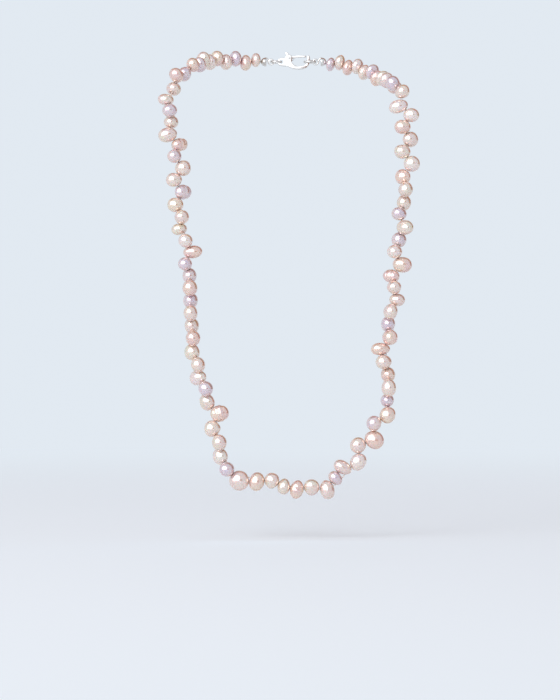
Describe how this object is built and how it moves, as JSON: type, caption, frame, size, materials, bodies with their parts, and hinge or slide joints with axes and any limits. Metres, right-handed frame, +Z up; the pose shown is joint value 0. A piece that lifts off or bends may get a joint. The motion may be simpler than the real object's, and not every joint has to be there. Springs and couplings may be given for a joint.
{
  "type": "pearl necklace",
  "caption": "Single strand of off-round freshwater pearls on one thread, closed at the nape by a lobster clasp and ring; each pearl leans its own way off the thread.",
  "frame": {"origin": "middle of the neck opening, in the plane of the front drop and level with its top", "axes": "+Z up as worn, +Y from the front drop towards the nape, +X to the viewer's right"},
  "size_m": [0.0904, 0.0339, 0.1578],
  "materials": {
    "pearl_peach": "peach nacre, high lustre",
    "pearl_lavender": "lavender nacre, high lustre",
    "pearl_cream": "cream nacre, high lustre",
    "pearl_white": "white nacre, high lustre",
    "silk_thread": "matt cream silk",
    "silver": "polished silver",
    "spring_steel": "drawn wire"
  },
  "bodies": {
    "neck_strand": {"thread_nape_left": "silk_thread", "thread_nape_right": "silk_thread", "bead_tip_left": "silver", "bead_tip_right": "silver"},
    "front_upper": {"thread_upper_left": "silk_thread", "thread_upper_right": "silk_thread"},
    "front_middle": {"thread_middle_left": "silk_thread", "thread_middle_right": "silk_thread"},
    "front_lower": {"thread_lower": "silk_thread"},
    "nape_pearls_left_1": {"nape_pearls_left_1": "pearl_cream"},
    "nape_pearls_left_2": {"nape_pearls_left_2": "pearl_peach"},
    "pearl_pair_01": {"pearl_pair_01": "pearl_peach"},
    "pearl_pair_02": {"pearl_pair_02": "pearl_peach"},
    "pearl_pair_03": {"pearl_pair_03": "pearl_cream"},
    "pearl_pair_04": {"pearl_pair_04": "pearl_cream"},
    "pearl_pair_05": {"pearl_pair_05": "pearl_peach"},
    "pearl_pair_06": {"pearl_pair_06": "pearl_cream"},
    "pearl_pair_07": {"pearl_pair_07": "pearl_lavender"},
    "pearl_pair_08": {"pearl_pair_08": "pearl_cream"},
    "pearl_pair_09": {"pearl_pair_09": "pearl_white"},
    "pearl_pair_10": {"pearl_pair_10": "pearl_lavender"},
    "pearl_pair_11": {"pearl_pair_11": "pearl_peach"},
    "pearl_pair_12": {"pearl_pair_12": "pearl_cream"},
    "pearl_pair_13": {"pearl_pair_13": "pearl_peach"},
    "pearl_pair_14": {"pearl_pair_14": "pearl_cream"},
    "pearl_pair_15": {"pearl_pair_15": "pearl_lavender"},
    "pearl_pair_16": {"pearl_pair_16": "pearl_peach"},
    "pearl_pair_17": {"pearl_pair_17": "pearl_cream"},
    "pearl_pair_18": {"pearl_pair_18": "pearl_lavender"},
    "pearl_pair_19": {"pearl_pair_19": "pearl_peach"},
    "pearl_pair_20": {"pearl_pair_20": "pearl_cream"},
    "pearl_pair_21": {"pearl_pair_21": "pearl_cream"},
    "pearl_pair_22": {"pearl_pair_22": "pearl_lavender"},
    "pearl_pair_23": {"pearl_pair_23": "pearl_white"},
    "pearl_pair_24": {"pearl_pair_24": "pearl_peach"},
    "pearl_pair_25": {"pearl_pair_25": "pearl_peach"},
    "pearl_pair_26": {"pearl_pair_26": "pearl_cream"},
    "pearl_pair_27": {"pearl_pair_27": "pearl_cream"},
    "pearl_pair_28": {"pearl_pair_28": "pearl_peach"},
    "pearl_pair_29": {"pearl_pair_29": "pearl_cream"},
    "pearl_pair_30": {"pearl_pair_30": "pearl_cream"},
    "pearl_pair_31": {"pearl_pair_31": "pearl_peach"},
    "pearl_pair_32": {"pearl_pair_32": "pearl_lavender"},
    "pearl_pair_33": {"pearl_pair_33": "pearl_lavender"},
    "pearl_pair_34": {"pearl_pair_34": "pearl_cream"},
    "pearl_pair_35": {"pearl_pair_35": "pearl_white"},
    "pearl_pair_36": {"pearl_pair_36": "pearl_cream"},
    "pearl_pair_37": {"pearl_pair_37": "pearl_white"},
    "pearl_pair_38": {"pearl_pair_38": "pearl_cream"},
    "pearl_pair_39": {"pearl_pair_39": "pearl_peach"},
    "nape_pearls_right_2": {"nape_pearls_right_2": "pearl_cream"},
    "nape_pearls_right_1": {"nape_pearls_right_1": "pearl_white"},
    "clasp_claw": {"clasp_body": "silver", "clasp_rivet": "silver", "clasp_spring": "spring_steel"},
    "clasp_lever": {"clasp_lever": "silver"},
    "jump_ring": {"jump_ring": "silver"},
    "end_ring": {"end_ring": "silver"}
  },
  "joints": [
    {"name": "front_upper_swing", "type": "hinge", "parent": "neck_strand", "child": "front_upper", "pos_m": [-0.0025, 0.00023, -0.00915], "axis": [0.9997, 0.0054, -0.0222], "range_deg": [-20, 20]},
    {"name": "front_middle_swing", "type": "hinge", "parent": "front_upper", "child": "front_middle", "pos_m": [-0.00079, 0, -0.05875], "axis": [0.9984, 0, -0.0558], "range_deg": [-20, 20]},
    {"name": "front_lower_swing", "type": "hinge", "parent": "front_middle", "child": "front_lower", "pos_m": [-0.00059, 0, -0.10112], "axis": [0.9988, 0, -0.0494], "range_deg": [-20, 20]},
    {"name": "nape_pearls_left_1_swing", "type": "hinge", "parent": "neck_strand", "child": "nape_pearls_left_1", "pos_m": [-0.0187, 0.0235, 0.00594], "axis": [-0.917, -0.3989, -0.0075], "range_deg": [-5, 5]},
    {"name": "nape_pearls_left_2_swing", "type": "hinge", "parent": "neck_strand", "child": "nape_pearls_left_2", "pos_m": [-0.02975, 0.01415, 0.00439], "axis": [-0.5369, -0.8212, -0.1932], "range_deg": [-5, 5]},
    {"name": "pearl_pair_01_swing", "type": "hinge", "parent": "neck_strand", "child": "pearl_pair_01", "pos_m": [-0.0363, 0.00494, 0.00075], "axis": [-0.557, -0.6646, -0.4981], "range_deg": [-10, 10]},
    {"name": "pearl_pair_02_swing", "type": "hinge", "parent": "neck_strand", "child": "pearl_pair_02", "pos_m": [-0.04051, 0.00104, -0.00483], "axis": [-0.4502, -0.2562, -0.8554], "range_deg": [-6, 6]},
    {"name": "pearl_pair_03_swing", "type": "hinge", "parent": "front_upper", "child": "pearl_pair_03", "pos_m": [-0.04251, -0.00001, -0.01213], "axis": [-0.05, -0.0046, -0.9987], "range_deg": [-10, 10]},
    {"name": "pearl_pair_04_swing", "type": "hinge", "parent": "front_upper", "child": "pearl_pair_04", "pos_m": [-0.04201, -0.00001, -0.02003], "axis": [0.1691, 0.0028, -0.9856], "range_deg": [-10, 10]},
    {"name": "pearl_pair_05_swing", "type": "hinge", "parent": "front_upper", "child": "pearl_pair_05", "pos_m": [-0.04062, 0, -0.02788], "axis": [0.1812, 0, -0.9835], "range_deg": [-10, 10]},
    {"name": "pearl_pair_06_swing", "type": "hinge", "parent": "front_upper", "child": "pearl_pair_06", "pos_m": [-0.03986, 0, -0.0358], "axis": [0.0139, 0, -0.9999], "range_deg": [-10, 10]},
    {"name": "pearl_pair_07_swing", "type": "hinge", "parent": "front_upper", "child": "pearl_pair_07", "pos_m": [-0.03939, 0, -0.04424], "axis": [0.095, 0, -0.9955], "range_deg": [-10, 10]},
    {"name": "pearl_pair_08_swing", "type": "hinge", "parent": "front_upper", "child": "pearl_pair_08", "pos_m": [-0.03831, 0, -0.05263], "axis": [0.1621, 0, -0.9868], "range_deg": [-10, 10]},
    {"name": "pearl_pair_09_swing", "type": "hinge", "parent": "front_middle", "child": "pearl_pair_09", "pos_m": [-0.03715, 0, -0.06077], "axis": [0.1192, 0, -0.9929], "range_deg": [-10, 10]},
    {"name": "pearl_pair_10_swing", "type": "hinge", "parent": "front_middle", "child": "pearl_pair_10", "pos_m": [-0.03629, 0, -0.06896], "axis": [0.0893, 0, -0.996], "range_deg": [-10, 10]},
    {"name": "pearl_pair_11_swing", "type": "hinge", "parent": "front_middle", "child": "pearl_pair_11", "pos_m": [-0.03581, 0, -0.07741], "axis": [0.0258, 0, -0.9997], "range_deg": [-10, 10]},
    {"name": "pearl_pair_12_swing", "type": "hinge", "parent": "front_middle", "child": "pearl_pair_12", "pos_m": [-0.03542, 0, -0.08611], "axis": [0.0647, 0, -0.9979], "range_deg": [-10, 10]},
    {"name": "pearl_pair_13_swing", "type": "hinge", "parent": "front_middle", "child": "pearl_pair_13", "pos_m": [-0.03432, 0, -0.09497], "axis": [0.1786, 0, -0.9839], "range_deg": [-10, 10]},
    {"name": "pearl_pair_14_swing", "type": "hinge", "parent": "front_lower", "child": "pearl_pair_14", "pos_m": [-0.03234, 0, -0.10369], "axis": [0.2651, 0, -0.9642], "range_deg": [-10, 10]},
    {"name": "pearl_pair_15_swing", "type": "hinge", "parent": "front_lower", "child": "pearl_pair_15", "pos_m": [-0.02964, 0, -0.11222], "axis": [0.3373, 0, -0.9414], "range_deg": [-10, 10]},
    {"name": "pearl_pair_16_swing", "type": "hinge", "parent": "front_lower", "child": "pearl_pair_16", "pos_m": [-0.0272, 0, -0.12129], "axis": [0.1839, 0, -0.983], "range_deg": [-10, 10]},
    {"name": "pearl_pair_17_swing", "type": "hinge", "parent": "front_lower", "child": "pearl_pair_17", "pos_m": [-0.0249, 0, -0.13066], "axis": [0.2918, 0, -0.9565], "range_deg": [-10, 10]},
    {"name": "pearl_pair_18_swing", "type": "hinge", "parent": "front_lower", "child": "pearl_pair_18", "pos_m": [-0.01947, 0, -0.13794], "axis": [0.834, 0, -0.5518], "range_deg": [-6, 6]},
    {"name": "pearl_pair_19_swing", "type": "hinge", "parent": "front_lower", "child": "pearl_pair_19", "pos_m": [-0.01046, 0, -0.14165], "axis": [0.9786, 0, -0.2058], "range_deg": [-10, 10]},
    {"name": "pearl_pair_20_swing", "type": "hinge", "parent": "front_lower", "child": "pearl_pair_20", "pos_m": [-0.001, 0, -0.14364], "axis": [0.9788, 0, -0.2046], "range_deg": [-10, 10]},
    {"name": "pearl_pair_21_swing", "type": "hinge", "parent": "front_lower", "child": "pearl_pair_21", "pos_m": [0.00873, 0, -0.14399], "axis": [0.9939, 0, 0.1103], "range_deg": [-6, 6]},
    {"name": "pearl_pair_22_swing", "type": "hinge", "parent": "front_lower", "child": "pearl_pair_22", "pos_m": [0.01667, 0, -0.13987], "axis": [0.6032, 0, 0.7976], "range_deg": [-10, 10]},
    {"name": "pearl_pair_23_swing", "type": "hinge", "parent": "front_lower", "child": "pearl_pair_23", "pos_m": [0.02202, 0, -0.13246], "axis": [0.5692, 0, 0.8222], "range_deg": [-10, 10]},
    {"name": "pearl_pair_24_swing", "type": "hinge", "parent": "front_lower", "child": "pearl_pair_24", "pos_m": [0.0272, 0, -0.12456], "axis": [0.5255, 0, 0.8508], "range_deg": [-10, 10]},
    {"name": "pearl_pair_25_swing", "type": "hinge", "parent": "front_lower", "child": "pearl_pair_25", "pos_m": [0.03116, 0, -0.11636], "axis": [0.3345, 0, 0.9424], "range_deg": [-6, 6]},
    {"name": "pearl_pair_26_swing", "type": "hinge", "parent": "front_lower", "child": "pearl_pair_26", "pos_m": [0.03248, 0, -0.10747], "axis": [-0.0343, 0, 0.9994], "range_deg": [-10, 10]},
    {"name": "pearl_pair_27_swing", "type": "hinge", "parent": "front_middle", "child": "pearl_pair_27", "pos_m": [0.03197, 0, -0.09854], "axis": [-0.0826, 0, 0.9966], "range_deg": [-10, 10]},
    {"name": "pearl_pair_28_swing", "type": "hinge", "parent": "front_middle", "child": "pearl_pair_28", "pos_m": [0.0323, 0, -0.08991], "axis": [0.1526, 0, 0.9883], "range_deg": [-10, 10]},
    {"name": "pearl_pair_29_swing", "type": "hinge", "parent": "front_middle", "child": "pearl_pair_29", "pos_m": [0.03359, 0, -0.0813], "axis": [0.1429, 0, 0.9897], "range_deg": [-10, 10]},
    {"name": "pearl_pair_30_swing", "type": "hinge", "parent": "front_middle", "child": "pearl_pair_30", "pos_m": [0.03468, 0, -0.07317], "axis": [0.1231, 0, 0.9924], "range_deg": [-10, 10]},
    {"name": "pearl_pair_31_swing", "type": "hinge", "parent": "front_middle", "child": "pearl_pair_31", "pos_m": [0.03562, 0, -0.06501], "axis": [0.1059, 0, 0.9944], "range_deg": [-10, 10]},
    {"name": "pearl_pair_32_swing", "type": "hinge", "parent": "front_upper", "child": "pearl_pair_32", "pos_m": [0.03657, 0, -0.05636], "axis": [0.1113, 0, 0.9938], "range_deg": [-10, 10]},
    {"name": "pearl_pair_33_swing", "type": "hinge", "parent": "front_upper", "child": "pearl_pair_33", "pos_m": [0.03765, 0, -0.04772], "axis": [0.1385, 0, 0.9904], "range_deg": [-10, 10]},
    {"name": "pearl_pair_34_swing", "type": "hinge", "parent": "front_upper", "child": "pearl_pair_34", "pos_m": [0.03857, 0, -0.03907], "axis": [0.0744, 0, 0.9972], "range_deg": [-10, 10]},
    {"name": "pearl_pair_35_swing", "type": "hinge", "parent": "front_upper", "child": "pearl_pair_35", "pos_m": [0.03895, 0, -0.03038], "axis": [0.0115, 0, 0.9999], "range_deg": [-10, 10]},
    {"name": "pearl_pair_36_swing", "type": "hinge", "parent": "front_upper", "child": "pearl_pair_36", "pos_m": [0.03904, -0.00014, -0.02193], "axis": [0.0083, -0.0342, 0.9994], "range_deg": [-10, 10]},
    {"name": "pearl_pair_37_swing", "type": "hinge", "parent": "front_upper", "child": "pearl_pair_37", "pos_m": [0.03819, 0.00008, -0.01387], "axis": [-0.2221, 0.0928, 0.9706], "range_deg": [-10, 10]},
    {"name": "pearl_pair_38_swing", "type": "hinge", "parent": "neck_strand", "child": "pearl_pair_38", "pos_m": [0.0357, 0.00261, -0.00714], "axis": [-0.408, 0.5463, 0.7315], "range_deg": [-6, 6]},
    {"name": "pearl_pair_39_swing", "type": "hinge", "parent": "neck_strand", "child": "pearl_pair_39", "pos_m": [0.03294, 0.00849, -0.00342], "axis": [-0.2876, 0.9353, 0.206], "range_deg": [-10, 10]},
    {"name": "nape_pearls_right_2_swing", "type": "hinge", "parent": "neck_strand", "child": "nape_pearls_right_2", "pos_m": [0.02784, 0.01705, 0.00013], "axis": [-0.5793, 0.7104, 0.3997], "range_deg": [-5, 5]},
    {"name": "nape_pearls_right_1_swing", "type": "hinge", "parent": "neck_strand", "child": "nape_pearls_right_1", "pos_m": [0.01784, 0.0242, 0.00443], "axis": [-0.9084, 0.3452, 0.2359], "range_deg": [-5, 5]},
    {"name": "claw_swing", "type": "hinge", "parent": "neck_strand", "child": "clasp_claw", "pos_m": [-0.00445, 0.0265, 0.006], "axis": [0, -1, 0], "range_deg": [-4, 4]},
    {"name": "lever_pivot", "type": "hinge", "parent": "clasp_claw", "child": "clasp_lever", "pos_m": [-0.0016, 0.0265, 0.00735], "axis": [0, 1, 0], "range_deg": [0, 10], "stiffness_Nm_per_rad": 0.002, "springref_deg": -20.05, "deforming": ["clasp_spring"]},
    {"name": "jump_ring_turn", "type": "hinge", "parent": "neck_strand", "child": "jump_ring", "pos_m": [-0.0062, 0.0265, 0.006], "axis": [0, 0, 1], "continuous": true},
    {"name": "end_ring_turn", "type": "hinge", "parent": "neck_strand", "child": "end_ring", "pos_m": [0.0058, 0.0265, 0.006], "axis": [0, 0, 1], "continuous": true}
  ]
}
